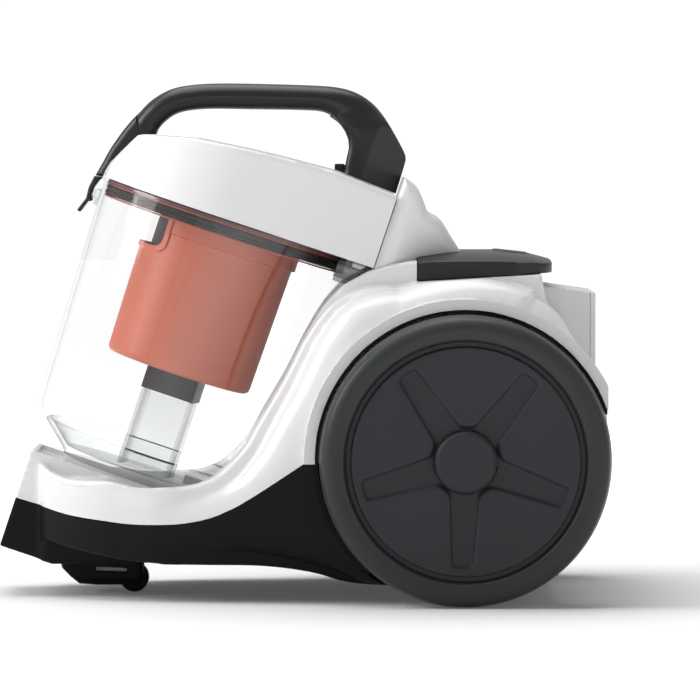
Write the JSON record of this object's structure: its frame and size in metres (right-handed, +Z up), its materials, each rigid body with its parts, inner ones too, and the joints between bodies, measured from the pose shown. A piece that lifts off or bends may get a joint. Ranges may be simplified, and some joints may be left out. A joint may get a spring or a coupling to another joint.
{
  "type": "canister vacuum cleaner",
  "caption": "Compact bagless canister vacuum cleaner: leaning clear dust cup with a cyclone, arched carry handle, large side wheels and a front caster.",
  "frame": {"origin": "on the floor, at the middle of the object's box in plan", "axes": "+X to the rear, so the nose with the hose socket faces -X; +Y to the far side; +Z up"},
  "size_m": [0.365, 0.264, 0.308],
  "materials": {
    "white_plastic": "gloss",
    "black_plastic": "satin",
    "handle_plastic": "satin",
    "graphite_plastic": "satin",
    "wheel_plastic": "satin",
    "wheel_rim": "satin",
    "light_grey_plastic": "satin",
    "clear_plastic": "clear",
    "orange_plastic": "satin",
    "dark_seal": "matt",
    "inner_grey": "satin",
    "foam": "open-cell foam",
    "filter_paper": "pleated paper",
    "steel": "satin",
    "board": "satin"
  },
  "bodies": {
    "chassis": {"base_shell": "black_plastic", "upper_shell": "white_plastic", "tower_cover": "white_plastic", "control_panel": "graphite_plastic", "circuit_board": "board", "exhaust_box": "light_grey_plastic", "exhaust_filter": "filter_paper", "axle_near": "steel", "axle_far": "steel", "caster_socket": "black_plastic", "hose_socket": "black_plastic", "intake_duct": "black_plastic", "inlet_seal": "dark_seal", "motor_can": "steel", "motor_mount_front": "dark_seal", "motor_mount_rear": "dark_seal", "motor_duct": "black_plastic", "reel_bracket": "light_grey_plastic", "rewind_spring_case": "black_plastic", "cord_bush": "dark_seal", "base_screw_1": "steel", "base_screw_2": "steel", "base_screw_3": "steel", "base_screw_4": "steel"},
    "wheel_near": {"tyre_near": "wheel_rim", "wheel_disc_near": "wheel_plastic", "hub_cap_near": "wheel_plastic"},
    "wheel_far": {"tyre_far": "wheel_rim", "wheel_disc_far": "wheel_plastic", "hub_cap_far": "wheel_plastic"},
    "caster": {"caster_fork": "black_plastic", "caster_axle": "steel"},
    "caster_wheel": {"caster_roller": "black_plastic"},
    "fan": {"motor_rotor": "steel"},
    "reel": {"cord_drum": "black_plastic"},
    "power_key": {"power_button": "graphite_plastic"},
    "rewind_key": {"rewind_button": "graphite_plastic"},
    "rear_grille": {"exhaust_grille": "light_grey_plastic"},
    "dust_cup": {"cup_shell": "clear_plastic", "cup_door": "clear_plastic", "door_latch": "light_grey_plastic", "rim_seal": "dark_seal", "cyclone_flange": "inner_grey", "cyclone_shroud": "orange_plastic", "cyclone_core": "inner_grey", "vortex_finder": "inner_grey", "cyclone_collar": "graphite_plastic", "fine_dust_tube": "clear_plastic"},
    "lid": {"lid_shell": "white_plastic", "filter_tray": "light_grey_plastic", "foam_filter": "foam", "handle": "handle_plastic"},
    "latch": {"lid_latch": "handle_plastic"},
    "trigger": {"release_trigger": "graphite_plastic"}
  },
  "joints": [
    {"name": "wheel_near_spin", "type": "hinge", "parent": "chassis", "child": "wheel_near", "pos_m": [0.0967, 0, 0.0858], "axis": [0, 1, 0], "continuous": true},
    {"name": "wheel_far_spin", "type": "hinge", "parent": "chassis", "child": "wheel_far", "pos_m": [0.0967, 0, 0.0858], "axis": [0, 1, 0], "continuous": true},
    {"name": "caster_swivel", "type": "hinge", "parent": "chassis", "child": "caster", "pos_m": [-0.127, 0, 0], "axis": [0, 0, 1], "continuous": true},
    {"name": "caster_roll", "type": "hinge", "parent": "caster", "child": "caster_wheel", "pos_m": [-0.1018, 0, 0.0087], "axis": [0, 1, 0], "continuous": true},
    {"name": "fan_spin", "type": "hinge", "parent": "chassis", "child": "fan", "pos_m": [0.092, -0.034, 0.066], "axis": [1, 0, 0], "continuous": true},
    {"name": "reel_spin", "type": "hinge", "parent": "chassis", "child": "reel", "pos_m": [0.096, 0, 0.084], "axis": [0, 1, 0], "continuous": true},
    {"name": "power_press", "type": "slide", "parent": "chassis", "child": "power_key", "axis": [0, 0, -1], "range_m": [0, 0.003], "stiffness_N_per_m": 400},
    {"name": "rewind_press", "type": "slide", "parent": "chassis", "child": "rewind_key", "axis": [0, 0, -1], "range_m": [0, 0.003], "stiffness_N_per_m": 400},
    {"name": "grille_open", "type": "hinge", "parent": "chassis", "child": "rear_grille", "pos_m": [0.1756, 0, 0.131], "axis": [0, 1, 0], "range_deg": [0, 95]},
    {"name": "cup_lift", "type": "slide", "parent": "chassis", "child": "dust_cup", "axis": [0.3157, 0, 0.9489], "range_m": [0, 0.17]},
    {"name": "lid_lift", "type": "slide", "parent": "dust_cup", "child": "lid", "axis": [0.3157, 0, 0.9489], "range_m": [0, 0.08]},
    {"name": "latch_release", "type": "hinge", "parent": "lid", "child": "latch", "pos_m": [-0.1233, 0, 0.252], "axis": [0, 1, 0], "range_deg": [0, 12], "stiffness_Nm_per_rad": 0.3},
    {"name": "trigger_press", "type": "slide", "parent": "lid", "child": "trigger", "axis": [1, 0, 0], "range_m": [0, 0.003], "stiffness_N_per_m": 300}
  ]
}
